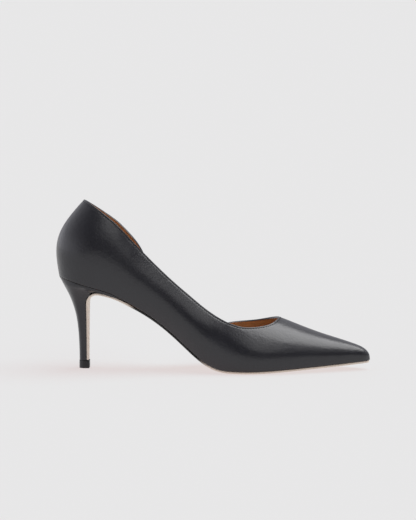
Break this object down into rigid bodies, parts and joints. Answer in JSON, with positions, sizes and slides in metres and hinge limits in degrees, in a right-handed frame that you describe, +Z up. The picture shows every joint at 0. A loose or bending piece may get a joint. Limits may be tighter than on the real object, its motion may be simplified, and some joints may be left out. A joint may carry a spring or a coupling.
{
  "type": "dorsay pump",
  "caption": "Pointed-toe pump on a slim high heel, closed on the outer side and cut away at the arch on the inner side.",
  "frame": {"origin": "on the floor, under the middle of the bounding box", "axes": "+X from heel to toe, +Y to the inner side of the foot, +Z up"},
  "size_m": [0.2502, 0.0785, 0.1349],
  "materials": {
    "upper_leather": "satin",
    "sock_leather": "matte",
    "sole_leather": "satin",
    "heel_cover": "satin",
    "top_piece_rubber": "matte"
  },
  "bodies": {
    "root": {"upper": "upper_leather", "insole": "sock_leather", "outsole": "sole_leather", "heel": "heel_cover", "top_piece": "top_piece_rubber"}
  },
  "joints": []
}
